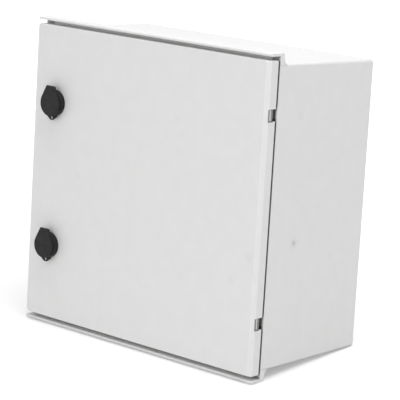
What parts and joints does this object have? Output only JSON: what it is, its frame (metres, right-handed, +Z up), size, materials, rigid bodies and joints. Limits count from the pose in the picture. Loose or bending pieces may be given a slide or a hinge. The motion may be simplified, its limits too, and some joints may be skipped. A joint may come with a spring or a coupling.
{
  "type": "polyester enclosure",
  "caption": "Wall-mounted moulded polyester enclosure with rain lips, a hinged flush door, covered quarter-turn locks and a mounting plate inside.",
  "frame": {"origin": "centre of the flat back face that lies on the wall", "axes": "+X to the right seen from the front, +Y from the front into the wall, +Z up"},
  "size_m": [0.4, 0.2148, 0.4],
  "materials": {
    "polyester": "satin, press-moulded light grey",
    "black_plastic": "satin, fine moulded grain",
    "foam": "matt foamed skin",
    "rubber": "matt",
    "stainless": "rolled bright sheet",
    "galvanised": "zinc plated, faint spangle",
    "zinc_alloy": "die-cast, satin",
    "brass": "turned and knurled"
  },
  "bodies": {
    "enclosure": {"body_shell": "polyester", "mouth_frame": "polyester", "mounting_plate": "galvanised", "plate_screws": "galvanised", "plate_inserts": "brass", "hinge_bracket_upper": "stainless", "hinge_bracket_lower": "stainless", "hinge_screws": "stainless"},
    "door": {"door_shell": "polyester", "door_rib": "polyester", "door_gasket": "foam", "hinge_pin_upper": "stainless", "hinge_pin_lower": "stainless", "lock_housing_upper": "black_plastic", "lock_seal_upper": "rubber", "lock_nut_upper": "black_plastic", "lock_housing_lower": "black_plastic", "lock_seal_lower": "rubber", "lock_nut_lower": "black_plastic"},
    "lock_upper": {"lock_rotor_upper": "zinc_alloy", "lock_cam_upper": "galvanised", "cam_screw_upper": "galvanised"},
    "cover_upper": {"lock_cover_upper": "black_plastic", "cover_pin_upper": "stainless"},
    "lock_lower": {"lock_rotor_lower": "zinc_alloy", "lock_cam_lower": "galvanised", "cam_screw_lower": "galvanised"},
    "cover_lower": {"lock_cover_lower": "black_plastic", "cover_pin_lower": "stainless"}
  },
  "joints": [
    {"name": "door_hinge", "type": "hinge", "parent": "enclosure", "child": "door", "pos_m": [0.1954, -0.19325, 0], "axis": [0, 0, 1], "range_deg": [0, 150]},
    {"name": "lock_turn_upper", "type": "hinge", "parent": "door", "child": "lock_upper", "pos_m": [-0.1582, -0.202, 0.0927], "axis": [0, 1, 0], "range_deg": [0, 90]},
    {"name": "cover_hinge_upper", "type": "hinge", "parent": "door", "child": "cover_upper", "pos_m": [-0.1582, -0.2108, 0.1131], "axis": [-1, 0, 0], "range_deg": [0, 110]},
    {"name": "lock_turn_lower", "type": "hinge", "parent": "door", "child": "lock_lower", "pos_m": [-0.1582, -0.202, -0.0943], "axis": [0, 1, 0], "range_deg": [0, 90]},
    {"name": "cover_hinge_lower", "type": "hinge", "parent": "door", "child": "cover_lower", "pos_m": [-0.1582, -0.2108, -0.0739], "axis": [-1, 0, 0], "range_deg": [0, 110]}
  ]
}
